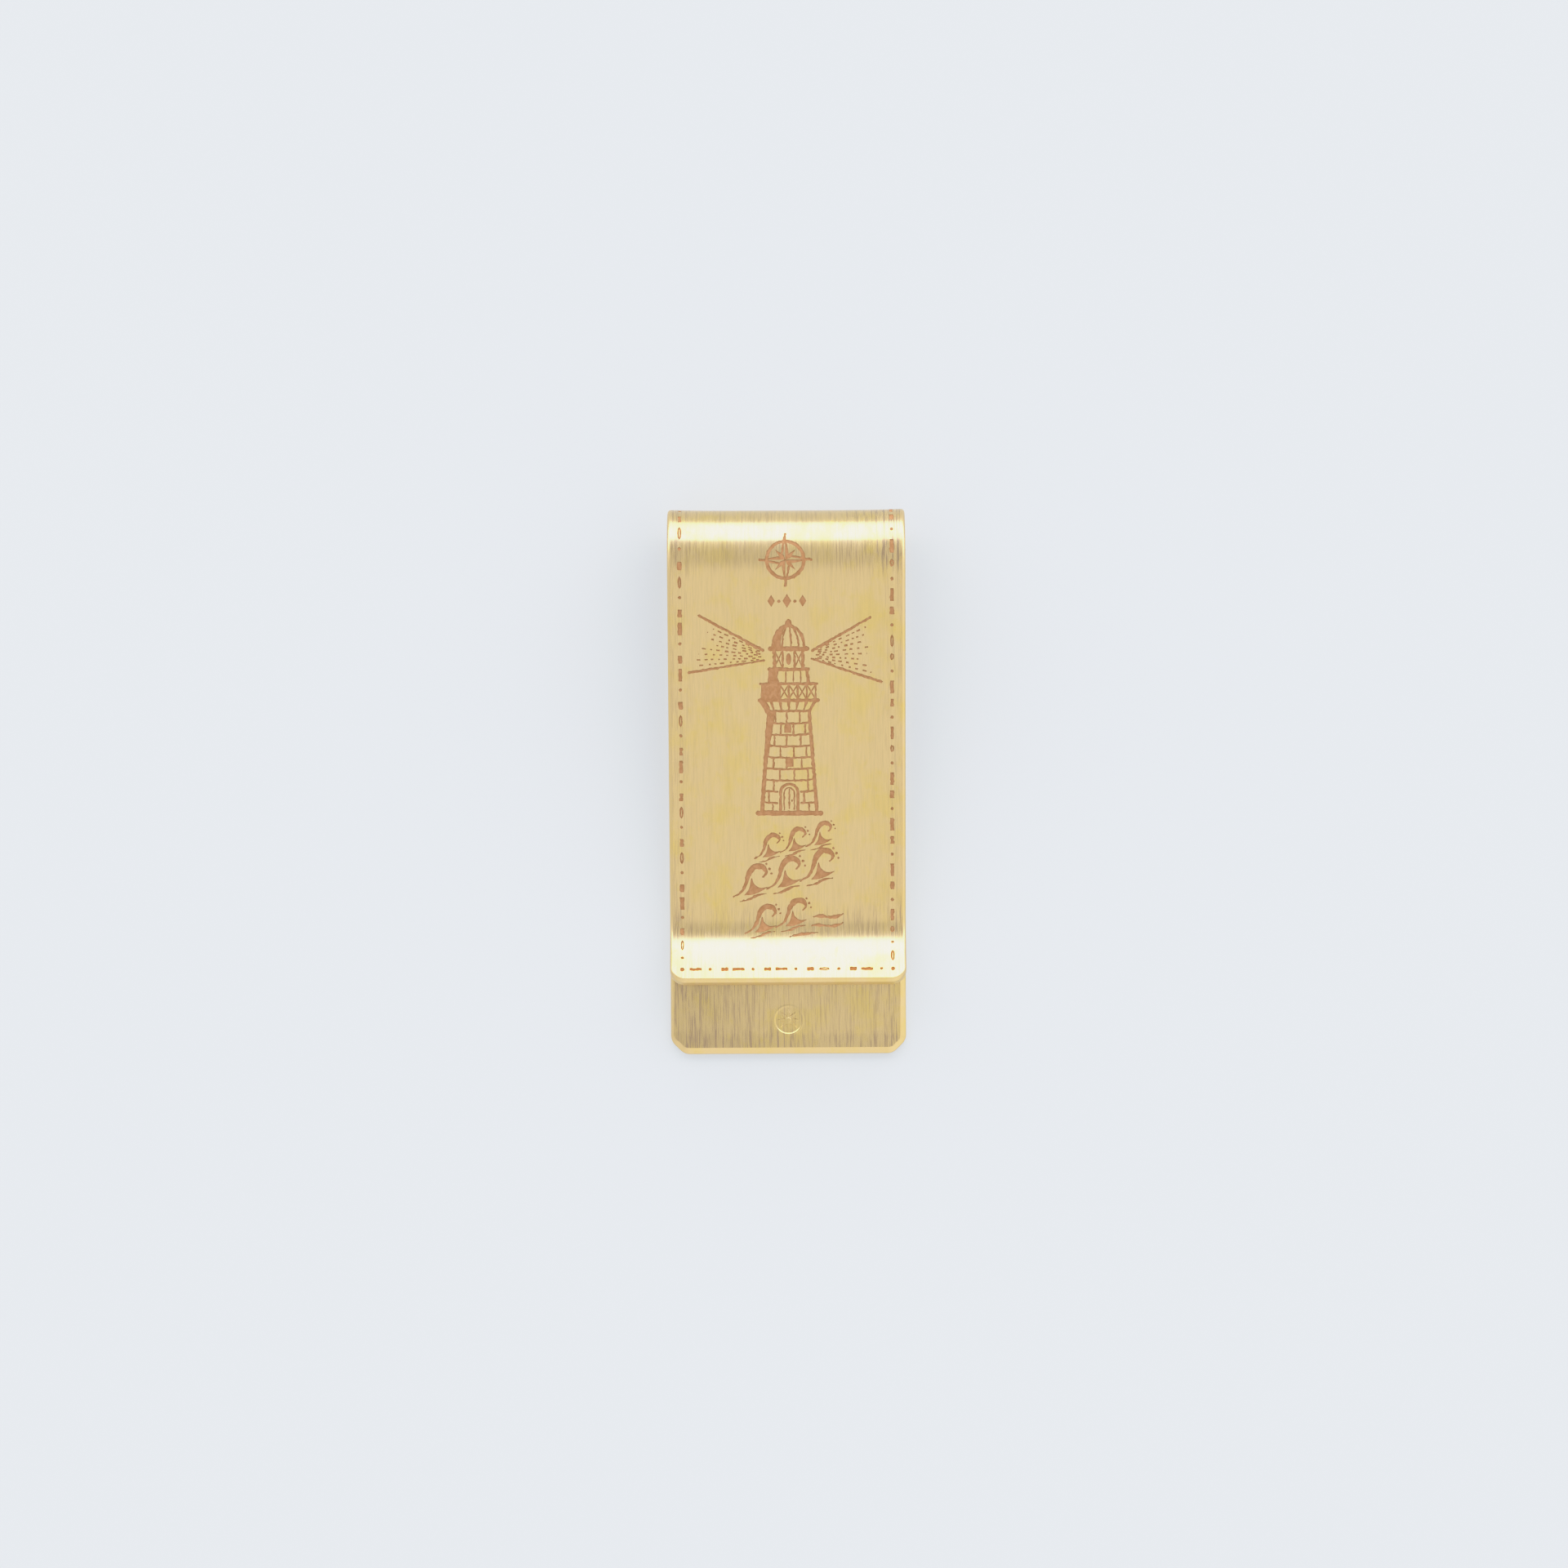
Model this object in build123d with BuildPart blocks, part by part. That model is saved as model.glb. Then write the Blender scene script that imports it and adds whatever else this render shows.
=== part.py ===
"""Money clip: a strip of spring brass bent into a flat back leaf, a round bend and a front leaf with a lip.

The strip is modelled as the zones between which it flexes. Each zone is a separate solid that meets the next
face to face. The frame is +X across the strip, +Y towards the bend and +Z up from the face that the clip
rests on. Units are millimetres and degrees.
"""

import os
from math import asin, atan2, cos, degrees, hypot, radians, sin

from build123d import *

# The strip
WIDTH = 25.0
THICKNESS = 1.2
EDGE_RADIUS = 0.4  # soft edges, as tumbled sheet has

# The side profile, where radii are those of the strip's middle surface
LENGTH = 57.6
BEND_RADIUS = 4.0
BEND_ANGLE = 166.0  # how far the round bend turns the strip from the back leaf
SHOULDER_RADIUS = 9.4  # the easy curve between the bend and the front leaf
NIP_RADIUS = 6.6  # the valley where the front leaf grips
NIP_FROM_MIDDLE = 14.6  # from the middle of the clip to the lowest line of the nip
NIP_CLEARANCE = 0.1  # between the nip and the back leaf when the clip is shut
LIP_ANGLE = 32.0
LIP_LENGTH = 3.5
BACK_CORNER_CHAMFER = 1.42
BACK_CORNER_ROUNDING = 1.4  # of the chamfer's two ends
LIP_CORNER_RADIUS = 1.6

# The roundel pressed into the back leaf, past the lip
ROUNDEL_RADIUS = 1.65
ROUNDEL_DEPTH = 0.08
ROUNDEL_FROM_END = 3.6
STAR_POINTS = 8
STAR_OUTER_RADIUS = 1.2
STAR_INNER_RADIUS = 0.5

# Places that follow from the sizes above, as (y, z) points of the side profile
half_thickness = THICKNESS / 2
tip_y = -LENGTH / 2
bend_outer_radius = BEND_RADIUS + half_thickness
bend_y = LENGTH / 2 - bend_outer_radius
bend_z = bend_outer_radius
bend_start = -90
bend_middle = bend_start + BEND_ANGLE / 2
bend_end = bend_start + BEND_ANGLE
radius_step = SHOULDER_RADIUS - BEND_RADIUS
shoulder_y = bend_y - radius_step * cos(radians(bend_end))
shoulder_z = bend_z - radius_step * sin(radians(bend_end))
nip_y = -NIP_FROM_MIDDLE
nip_z = THICKNESS + NIP_CLEARANCE + half_thickness + NIP_RADIUS

# The front leaf is the straight line that touches the shoulder on top and the nip underneath
across = shoulder_y - nip_y
climb = nip_z - shoulder_z
leaf_slope = degrees(asin((SHOULDER_RADIUS + NIP_RADIUS) / hypot(across, climb)) - atan2(climb, across))
leaf_start = (
    shoulder_y - SHOULDER_RADIUS * sin(radians(leaf_slope)),
    shoulder_z + SHOULDER_RADIUS * cos(radians(leaf_slope)),
)
leaf_end = (
    nip_y + NIP_RADIUS * sin(radians(leaf_slope)),
    nip_z - NIP_RADIUS * cos(radians(leaf_slope)),
)
lip_start = (
    nip_y - NIP_RADIUS * sin(radians(LIP_ANGLE)),
    nip_z - NIP_RADIUS * cos(radians(LIP_ANGLE)),
)
lip_plane = Plane(
    origin=(0, *lip_start),
    x_dir=(1, 0, 0),
    z_dir=(0, -sin(radians(LIP_ANGLE)), -cos(radians(LIP_ANGLE))),
)

# The line on which the clip springs open. It is on the outer face, half way round the bend, so that opening
# the clip parts only the inner side of the joint between the two halves of the bend
hinge_y = bend_y + bend_outer_radius * cos(radians(bend_middle))
hinge_z = bend_z + bend_outer_radius * sin(radians(bend_middle))


def strip_section(path):
    """The plane square to the start of a path, with the strip's width along X."""
    return Plane(origin=path @ 0, x_dir=(1, 0, 0), z_dir=path % 0)


os.makedirs("parts", exist_ok=True)

# The back leaf: flat, with its two free corners cut off and rounded, and a roundel pressed into its inner face
with BuildPart() as back_leaf:
    with BuildSketch(Plane.XY):
        with Locations((0, (tip_y + bend_y) / 2)):
            Rectangle(WIDTH, bend_y - tip_y)
        chamfer(vertices().group_by(Axis.Y)[0], BACK_CORNER_CHAMFER)
        free_corners = vertices().sort_by(Axis.Y)[:4]
        fillet(free_corners, BACK_CORNER_ROUNDING)
    extrude(amount=THICKNESS)
    broad_faces = faces().filter_by(Axis.Z)
    fillet(broad_faces.edges().filter_by(lambda edge: edge.center().Y < bend_y - EDGE_RADIUS), EDGE_RADIUS)
    with BuildSketch(Plane.XY.offset(THICKNESS)):
        with Locations((0, tip_y + ROUNDEL_FROM_END)):
            Circle(ROUNDEL_RADIUS)
            star_corners = [
                Vector(radius, 0).rotate(Axis.Z, 90 + point * 360 / STAR_POINTS + turn)
                for point in range(STAR_POINTS)
                for radius, turn in ((STAR_OUTER_RADIUS, 0), (STAR_INNER_RADIUS, 180 / STAR_POINTS))
            ]
            Polygon(*star_corners, align=None, mode=Mode.SUBTRACT)
    extrude(amount=-ROUNDEL_DEPTH, mode=Mode.SUBTRACT)
back_leaf.part.label = "back_leaf"
export_step(back_leaf.part, "parts/back_leaf.step")

# The bend: one round arc in two halves, from the back leaf up and over
for name, start_angle in (("bend_lower", bend_start), ("bend_upper", bend_middle)):
    with BuildPart() as bend_half:
        with BuildLine(Plane.YZ) as bend_path:
            CenterArc((bend_y, bend_z), BEND_RADIUS, start_angle, BEND_ANGLE / 2)
        with BuildSketch(strip_section(bend_path.line)):
            RectangleRounded(WIDTH, THICKNESS, EDGE_RADIUS)
        sweep()
    bend_half.part.label = name
    export_step(bend_half.part, f"parts/{name}.step")

# The shoulder: the easy curve over the crest, down into the front leaf
with BuildPart() as shoulder:
    with BuildLine(Plane.YZ) as shoulder_path:
        CenterArc((shoulder_y, shoulder_z), SHOULDER_RADIUS, bend_end, 90 + leaf_slope - bend_end)
    with BuildSketch(strip_section(shoulder_path.line)):
        RectangleRounded(WIDTH, THICKNESS, EDGE_RADIUS)
    sweep()
shoulder.part.label = "shoulder"
export_step(shoulder.part, "parts/shoulder.step")

# The front leaf: flat, sloping down from the shoulder to the nip
with BuildPart() as front_leaf:
    with BuildLine(Plane.YZ) as leaf_path:
        Line(leaf_start, leaf_end)
    with BuildSketch(strip_section(leaf_path.line)):
        RectangleRounded(WIDTH, THICKNESS, EDGE_RADIUS)
    sweep()
front_leaf.part.label = "front_leaf"
export_step(front_leaf.part, "parts/front_leaf.step")

# The nip: the valley that presses on the back leaf
with BuildPart() as nip:
    with BuildLine(Plane.YZ) as nip_path:
        CenterArc((nip_y, nip_z), NIP_RADIUS, -90 + leaf_slope, -(leaf_slope + LIP_ANGLE))
    with BuildSketch(strip_section(nip_path.line)):
        RectangleRounded(WIDTH, THICKNESS, EDGE_RADIUS)
    sweep()
nip.part.label = "nip"
export_step(nip.part, "parts/nip.step")

# The lip: turned up so that a thumb or the edge of a note gets under it, with its two corners rounded
with BuildPart() as lip:
    with BuildSketch(lip_plane):
        with Locations((0, LIP_LENGTH / 2)):
            Rectangle(WIDTH, LIP_LENGTH)
        fillet(vertices().group_by(Axis.Y)[-1], LIP_CORNER_RADIUS)
    extrude(amount=half_thickness, both=True)
    along_lip = Axis(lip_plane.origin, lip_plane.y_dir)
    broad_faces = faces().filter_by(Axis(lip_plane.origin, lip_plane.z_dir))
    joined_edges = faces().sort_by(along_lip)[0].edges()
    fillet([edge for edge in broad_faces.edges() if edge not in joined_edges], EDGE_RADIUS)
lip.part.label = "lip"
export_step(lip.part, "parts/lip.step")

crest_z = shoulder_z + SHOULDER_RADIUS + half_thickness
print(f"The front leaf slopes {leaf_slope:.3f} degrees, and the crest is {crest_z:.3f} mm high")
print(f"The clip springs open about the line y {hinge_y:.5f}, z {hinge_z:.5f}")
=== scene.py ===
from math import asin, atan2, cos, hypot, pi, radians, sin, sqrt

import bpy
import numpy as np
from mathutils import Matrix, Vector
from mathutils.geometry import delaunay_2d_cdt


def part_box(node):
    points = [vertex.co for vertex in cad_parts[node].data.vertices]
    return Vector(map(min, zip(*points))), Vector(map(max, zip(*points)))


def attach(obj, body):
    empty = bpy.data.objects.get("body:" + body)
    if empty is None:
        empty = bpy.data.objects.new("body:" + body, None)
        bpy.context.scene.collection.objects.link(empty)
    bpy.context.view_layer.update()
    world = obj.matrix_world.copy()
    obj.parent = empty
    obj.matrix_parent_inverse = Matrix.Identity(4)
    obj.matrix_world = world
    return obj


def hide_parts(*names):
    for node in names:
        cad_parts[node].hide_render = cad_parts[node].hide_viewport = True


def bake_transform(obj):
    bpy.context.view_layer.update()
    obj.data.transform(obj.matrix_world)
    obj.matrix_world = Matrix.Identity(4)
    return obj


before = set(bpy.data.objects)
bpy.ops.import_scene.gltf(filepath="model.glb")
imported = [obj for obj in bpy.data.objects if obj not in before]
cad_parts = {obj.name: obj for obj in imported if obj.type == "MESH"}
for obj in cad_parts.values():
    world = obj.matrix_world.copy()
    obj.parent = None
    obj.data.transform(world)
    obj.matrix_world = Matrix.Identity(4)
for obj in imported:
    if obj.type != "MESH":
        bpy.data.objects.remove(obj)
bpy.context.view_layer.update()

# A money clip: one strip of brushed brass, etched while it was flat and then bent. The strip is drawn here as
# a flat blank, with x across it, s along it from the tip of the back leaf to the edge of the lip, and h out
# from its middle towards the face that ends up outside. All of that is in millimetres, and forming turns it
# into the bent strip.
MM = 0.001
rng = np.random.default_rng(1867)

# Sizes that the frame holds
leaf_low, leaf_high = (np.array(corner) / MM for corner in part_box("back_leaf"))
WIDTH = leaf_high[0] - leaf_low[0]
THICKNESS = leaf_high[2] - leaf_low[2]
TIP_Y = leaf_low[1]
BEND_Y = leaf_high[1]
HALF_WIDTH = WIDTH / 2
HALF_THICKNESS = THICKNESS / 2

# The side profile, with the radii of the strip's middle
BEND_RADIUS = 4.0
BEND_ANGLE = radians(166)
SHOULDER_RADIUS = 9.4
NIP_RADIUS = 6.6
NIP_Y = -14.6
NIP_CLEARANCE = 0.1
LIP_ANGLE = radians(32)
LIP_LENGTH = 3.5

# The front leaf is the line that touches the shoulder on top and the nip underneath
bend_z = BEND_RADIUS + HALF_THICKNESS
bend_end = BEND_ANGLE - pi / 2
shoulder_y = BEND_Y - (SHOULDER_RADIUS - BEND_RADIUS) * cos(bend_end)
shoulder_z = bend_z - (SHOULDER_RADIUS - BEND_RADIUS) * sin(bend_end)
nip_z = THICKNESS + NIP_CLEARANCE + HALF_THICKNESS + NIP_RADIUS
between = hypot(shoulder_y - NIP_Y, nip_z - shoulder_z)
leaf_slope = asin((SHOULDER_RADIUS + NIP_RADIUS) / between) - atan2(nip_z - shoulder_z, shoulder_y - NIP_Y)
leaf_length = sqrt(between**2 - (SHOULDER_RADIUS + NIP_RADIUS) ** 2)

# The middle line as straights and arcs: the length of each, and how far it turns up and over
turns = np.array([0, BEND_ANGLE, pi - BEND_ANGLE + leaf_slope, 0, -(leaf_slope + LIP_ANGLE), 0])
lengths = np.array([
    BEND_Y - TIP_Y,
    BEND_RADIUS * turns[1],
    SHOULDER_RADIUS * turns[2],
    leaf_length,
    -NIP_RADIUS * turns[4],
    LIP_LENGTH,
])
section_start = np.concatenate([[0], np.cumsum(lengths)])
section_heading = np.concatenate([[0], np.cumsum(turns)])
STRIP_LENGTH = section_start[-1]
section_chord = lengths * np.sinc(turns / 2 / pi)
section_direction = section_heading[:-1] + turns / 2
section_y = TIP_Y + np.concatenate([[0], np.cumsum(section_chord * np.cos(section_direction))])
section_z = HALF_THICKNESS + np.concatenate([[0], np.cumsum(section_chord * np.sin(section_direction))])

CURL_HEIGHT = 0.13  # the edges of a bent strip curl out a little
CURL_STEEPNESS = 5


def middle_line(s):
    """The bent middle line at stations s, as y, z and heading. An arc's chord is its length times the sinc of
    half its turn, and points half way between its first and last headings."""
    section = np.clip(np.searchsorted(section_start, s, side="right") - 1, 0, len(lengths) - 1)
    along = s - section_start[section]
    turn = along * turns[section] / lengths[section]
    chord = along * np.sinc(turn / 2 / pi)
    direction = section_heading[section] + turn / 2
    y = section_y[section] + chord * np.cos(direction)
    z = section_z[section] + chord * np.sin(direction)
    return y, z, section_heading[section] + turn


def forming(blank):
    """Bends blank points (x, s, h) into the strip: each lies h out from the middle line, square to it. Round
    the bend the strip's edges stand further out by the curl, a steep power of x times a sine of the way
    round."""
    x, s, h = blank.T
    y, z, heading = middle_line(s)
    way_round = np.clip((s - section_start[1]) / (section_start[3] - section_start[1]), 0, 1)
    out = h + CURL_HEIGHT * np.abs(x / HALF_WIDTH) ** CURL_STEEPNESS * np.sin(pi * way_round) ** 2
    return np.stack([x, y + out * np.sin(heading), z - out * np.cos(heading)], axis=1) * MM


def formed_normals(blank, normals):
    """Turns blank normals with the strip: each becomes the cross products of the directions in which x, s and
    h run there, weighted by its own three parts. The blank's axes are left-handed once formed, hence the
    sign."""
    step = 0.002
    along_x, along_s, along_h = (
        forming(blank + step * axis) - forming(blank - step * axis) for axis in np.eye(3)
    )
    turned = -(
        normals[:, :1] * np.cross(along_s, along_h)
        + normals[:, 1:2] * np.cross(along_h, along_x)
        + normals[:, 2:] * np.cross(along_x, along_s)
    )
    return turned / np.linalg.norm(turned, axis=1, keepdims=True)


# --------------------
# The etched drawing, laid out as it is seen from above: x across and y along the clip, in millimetres

ROUGHNESS = 0.028  # how far an etched edge wavers
STEP = 0.22  # length of each short piece of a line


def station_at(y):
    """The station whose outer face lies at y, on the side that faces up: the outer face's y falls steadily
    from the far side of the bend to the lip, so it is read backwards."""
    s = np.linspace(section_start[1] + BEND_RADIUS * pi / 2, STRIP_LENGTH, 4000)
    outer_y = forming(np.stack([0 * s, s, 0 * s + HALF_THICKNESS], axis=1))[:, 1] / MM
    return np.interp(-np.asarray(y, float), -outer_y, s)


def onto_blank(shapes):
    """Takes shapes drawn as seen from above to the flat blank."""
    return [np.stack([shape[:, 0], station_at(shape[:, 1])], axis=1) for shape in shapes]


def stroke(points, width, round_ends=True, roughness=ROUGHNESS):
    """A line cut by the etch, as short quads: the points are set evenly, and each is moved square to the
    line, to both sides, by half the width and a small random waver. Width may be one value for each of the
    points."""
    points = np.asarray(points, float)
    travelled = np.concatenate([[0], np.cumsum(np.linalg.norm(np.diff(points, axis=0), axis=1))])
    count = max(2, int(np.ceil(travelled[-1] / STEP)) + 1)
    at = np.linspace(0, travelled[-1], count)
    line = np.stack([np.interp(at, travelled, points[:, axis]) for axis in range(2)], axis=1)
    half = np.interp(at, travelled, np.broadcast_to(np.asarray(width, float), len(points))) / 2
    along = np.gradient(line, axis=0)
    along /= np.linalg.norm(along, axis=1, keepdims=True)
    square = np.stack([-along[:, 1], along[:, 0]], axis=1)
    left = line + square * (half + rng.normal(0, roughness, count))[:, None]
    right = line - square * (half + rng.normal(0, roughness, count))[:, None]
    quads = list(np.stack([left[:-1], right[:-1], right[1:], left[1:]], axis=1))
    if round_ends:
        quads += [disc(line[0], half[0]), disc(line[-1], half[-1])]
    return quads


def disc(centre, radius, corners=9):
    """A round spot, as a ring of corners whose radius wavers a little."""
    angle = np.arange(corners) * 2 * pi / corners + rng.uniform(0, 1)
    reach = radius + rng.normal(0, ROUGHNESS / 2, corners)
    return np.asarray(centre) + reach[:, None] * np.stack([np.cos(angle), np.sin(angle)], axis=1)


def arc(centre, radius, start, end, count=24):
    """Points on a circle or an ellipse, between two angles in degrees."""
    angle = np.radians(np.linspace(start, end, count))
    return np.asarray(centre) + np.stack([np.cos(angle), np.sin(angle)], axis=1) * np.asarray(radius)


def scroll(start, heading, turn, length, tightening, count=60):
    """A line whose heading turns faster towards its end: the turn grows as a power of the way along it."""
    way = np.linspace(0, 1, count)
    angle = np.radians(heading + turn * way**tightening)
    step = length / (count - 1) * np.stack([np.cos(angle), np.sin(angle)], axis=1)
    return np.asarray(start) + np.concatenate([[[0, 0]], np.cumsum((step[1:] + step[:-1]) / 2, axis=0)])


def swell(count, thin, thick, peak=0.5):
    """Widths of a brush stroke: from thin to thick at the peak and back to thin, along a raised cosine."""
    way = np.linspace(0, 1, count)
    bent = np.where(way < peak, way / peak / 2, 0.5 + (way - peak) / (1 - peak) / 2)
    return thin + (thick - thin) * (1 - np.cos(2 * pi * bent)) / 2


def dash(centre, along, across, hollow=False):
    """One mark of the border: a short bar with blunt ends, sometimes bitten only round its rim."""
    x, y = centre
    if hollow:
        ring_width = across * 0.4
        reach = ((across - ring_width) / 2, (along - ring_width) / 2)
        return stroke(arc(centre, reach, 0, 360, 20), ring_width, False, 0.01)
    waist = rng.uniform(0.68, 1.0)
    ends = np.array([-0.5, -0.25, 0, 0.25, 0.5]) * along
    widths = across * np.array([0.85, 1.0, waist, 1.0, 0.85])
    return stroke(np.stack([x + 0 * ends, y + ends], axis=1), widths, False)


def compass_rose(centre, reach):
    """A rose of four long and four short points over a ring. Each long point is a kite of which one half is
    cut away and the other only outlined; the short ones are cut whole."""
    centre = np.asarray(centre)
    shapes = []
    for number in range(8):
        angle = pi / 2 + number * pi / 4
        length, waist = ((1.0, 0.3), (0.56, 0.2))[number % 2]
        tip, side, other = (
            centre + reach * share * np.array([cos(angle + turn), sin(angle + turn)])
            for share, turn in ((length, 0), (waist, -pi / 7), (waist, pi / 7))
        )
        shapes.append(np.array([centre, side, tip]))
        if number % 2:
            shapes.append(np.array([centre, tip, other]))
        else:
            shapes += stroke([tip, other], 0.22)
            shapes.append(disc(tip, 0.14))
    shapes += stroke(arc(centre, reach * 0.72, 0, 360, 60), 0.36, False)
    return shapes


def lighthouse(x, base, top):
    """A round stone tower with a gallery, a glazed lantern and a ribbed dome, drawn in line and shaded on its
    left."""
    shapes = []
    height = top - base
    wall_top = base + 0.53 * height
    gallery = wall_top + 0.055 * height
    rail = gallery + 0.085 * height
    sill = gallery + 0.16 * height
    eaves = sill + 0.105 * height
    crown = eaves + 0.12 * height

    def half(y):
        return np.interp(y, [base, wall_top], [3.05, 2.25])

    # Walls: the left one is cut heavier, and a wedge of shade widens up it to the gallery
    levels = np.linspace(base, wall_top, 24)
    shapes += stroke(np.stack([x - half(levels) + 0.16, levels], axis=1), 0.42, False)
    shapes += stroke(np.stack([x + half(levels) - 0.12, levels], axis=1), 0.36, False)
    high = levels[levels > base + 0.24 * height]
    wedge = np.linspace(0.05, 0.55, len(high))
    shapes += stroke(np.stack([x - half(high) + 0.3 + wedge / 2, high], axis=1), wedge, False)
    shapes += stroke([(x - 3.3, base + 0.05), (x + 3.35, base)], 0.52)

    # Courses of stone, sagging a little because the tower is round, with staggered joints
    door_half, door_top = 0.92, base + 3.1
    courses = np.linspace(base, wall_top, 10)
    for level in courses[1:-1]:
        reach = half(level)
        across = np.linspace(-reach, reach, 15)
        line = np.stack([x + across, level - 0.14 * (1 - (across / reach) ** 2)], axis=1)
        if level < door_top:
            shapes += stroke(line[across < -door_half], 0.2)
            shapes += stroke(line[across > door_half], 0.2)
        else:
            shapes += stroke(line, 0.2, False)
    for number, (low, high) in enumerate(zip(courses[:-1], courses[1:])):
        beside_door = low < door_top - 0.2
        places = ((-0.62, -0.1, 0.5), (-0.36, 0.2, 0.72))[number % 2]
        if beside_door:
            places = ((-0.58, 0.7), (-0.74, 0.54))[number % 2]
        for place in places:
            at = place * half((low + high) / 2)
            shapes += stroke([(x + at, low), (x + at * 0.99, high - 0.08)], 0.18)

    # Arched door with two planks and a latch, and two arched windows with a bright sill
    arch = arc((x, door_top - door_half), door_half, 0, 180, 16)
    shapes += stroke(np.concatenate([[(x + door_half, base)], arch, [(x - door_half, base)]]), 0.3)
    inside = 0.58 * door_half
    inner = arc((x, door_top - door_half), inside, 0, 180, 12)
    shapes += stroke(np.concatenate([[(x + inside, base + 0.4)], inner, [(x - inside, base + 0.4)]]), 0.14)
    shapes += stroke([(x, base + 0.5), (x, door_top - 0.55)], 0.13)
    shapes.append(disc((x + 0.28, base + 1.35), 0.11))
    for number, tilt in ((4, 0.1), (7, -0.12)):
        sill_level = courses[number] + 0.12
        opening = arc((x + tilt, sill_level + 0.62), (0.36, 0.36), 0, 180, 10)
        shapes.append(np.concatenate([opening, [(x + tilt - 0.36, sill_level), (x + tilt + 0.36, sill_level)]]))

    # Corbel: the wall flares out under the gallery on brackets
    for side, width in ((-1, 0.62), (1, 0.32)):
        flare = [(x + side * 2.15, wall_top - 0.1), (x + side * 2.35, wall_top + 0.35), (x + side * 2.85, gallery)]
        shapes += stroke(flare, width)
    shapes += stroke([(x - 2.2, wall_top), (x + 2.2, wall_top)], 0.24)
    for bracket in np.linspace(-1.6, 1.6, 5):
        shapes += stroke([(x + bracket, wall_top + 0.15), (x + bracket * 1.16, gallery - 0.1)], [0.16, 0.34])

    # Gallery: deck, rail, and panels crossed corner to corner, of which the left-hand ones are in shade
    shapes += stroke([(x - 3.1, gallery), (x + 3.1, gallery)], 0.36)
    shapes += stroke([(x - 2.98, rail), (x + 2.98, rail)], 0.26)
    posts = np.linspace(-2.82, 2.82, 7)
    for post in posts:
        shapes += stroke([(x + post, gallery), (x + post, rail)], 0.2, False)
    for left, right in zip(posts[:-1], posts[1:]):
        low_left, low_right = (x + left, gallery + 0.1), (x + right, gallery + 0.1)
        high_left, high_right = (x + left, rail - 0.05), (x + right, rail - 0.05)
        if right < -0.9:
            shapes.append(np.array([low_left, low_right, high_right, high_left]))
        shapes += stroke([low_left, high_right], 0.14, False, 0.01)
        shapes += stroke([high_left, low_right], 0.14, False, 0.01)

    # The room behind the rail, with its left side in shade
    for side in (-1, 1):
        shapes += stroke([(x + side * 2.1, rail), (x + side * 1.9, sill)], 0.3)
    shapes.append(np.array([(x - 2.1, rail), (x - 0.9, rail), (x - 1.2, rail + 0.7), (x - 1.0, sill), (x - 1.95, sill)]))
    shapes += stroke([(x - 2.05, sill), (x + 2.05, sill)], 0.36)
    for bar in (-0.3, 0.5, 1.25):
        shapes += stroke([(x + bar, rail), (x + bar, sill)], 0.13, False)

    # Lantern: glazing bars, crossed at the sides, and a lamp
    bars = np.array([-1.5, -0.62, 0.62, 1.5])
    for bar in bars:
        shapes += stroke([(x + bar, sill), (x + bar, eaves)], 0.22 if abs(bar) < 1 else 0.34, False)
    for left, right in ((bars[0], bars[1]), (bars[2], bars[3])):
        shapes += stroke([(x + left, sill + 0.1), (x + right, eaves - 0.1)], 0.13, False, 0.01)
        shapes += stroke([(x + left, eaves - 0.1), (x + right, sill + 0.1)], 0.13, False, 0.01)
    shapes.append(arc((x, (sill + eaves) / 2), (0.27, 0.6), 0, 345, 16))

    # Roof: ribs from the eaves to the crown, shaded on the left, under a ball and a spike
    shapes += stroke([(x - 1.95, eaves), (x + 1.95, eaves)], 0.48)
    rise = crown - eaves
    for share, width in ((-1, 0.34), (-0.4, 0.2), (0.16, 0.18), (0.64, 0.18), (1, 0.3)):
        shapes += stroke(arc((x, eaves), (1.65 * share, rise), 0, 90, 16), width)
    outer, inner = (arc((x, eaves), (-reach, rise), 0, 84, 12) for reach in (1.65, 0.85))
    shapes.append(np.concatenate([outer, inner[::-1]]))
    shapes.append(disc((x, crown + 0.26), 0.36, 12))
    shapes += stroke([(x, crown + 0.5), (x, top)], [0.36, 0.14])
    return shapes


def beam(start_low, start_high, end_low, end_high, rays):
    """The light thrown to one side: two firm edge lines, and between them rays of dashes that spread and thin
    out."""
    start_low, start_high, end_low, end_high = (np.array(p, float) for p in (start_low, start_high, end_low, end_high))
    shapes = stroke([start_low, end_low], [0.2, 0.28]) + stroke([start_high, end_high], [0.3, 0.24])
    for number in range(1, rays):
        share = number / rays
        origin = start_low + (start_high - start_low) * share
        target = end_low + (end_high - end_low) * share
        at = rng.uniform(0.03, 0.12)
        reach = rng.uniform(0.76, 0.96)
        while at < reach:
            run = rng.uniform(0.022, 0.06)
            ends = [origin + (target - origin) * way for way in (at, min(at + run, reach))]
            shapes += stroke(ends, rng.uniform(0.12, 0.18), False, 0.012)
            at += run + rng.uniform(0.035, 0.085)
    return shapes


def curve_through(points, steps=10):
    """A smooth line through points: between two of them it is the cubic whose slope at each is half the step
    from the point before to the point after."""
    points = np.asarray(points, float)
    padded = np.concatenate([2 * points[:1] - points[1:2], points, 2 * points[-1:] - points[-2:-1]])
    before, start, end, after = (padded[n:n + len(points) - 1, None] for n in range(4))
    way = (np.arange(steps) / steps)[None, :, None]
    line = 0.5 * (
        2 * start
        + (end - before) * way
        + (2 * before - 5 * start + 4 * end - after) * way**2
        + (3 * start - before - 3 * end + after) * way**3
    )
    return np.concatenate([line.reshape(-1, 2), points[-1:]])


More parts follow.
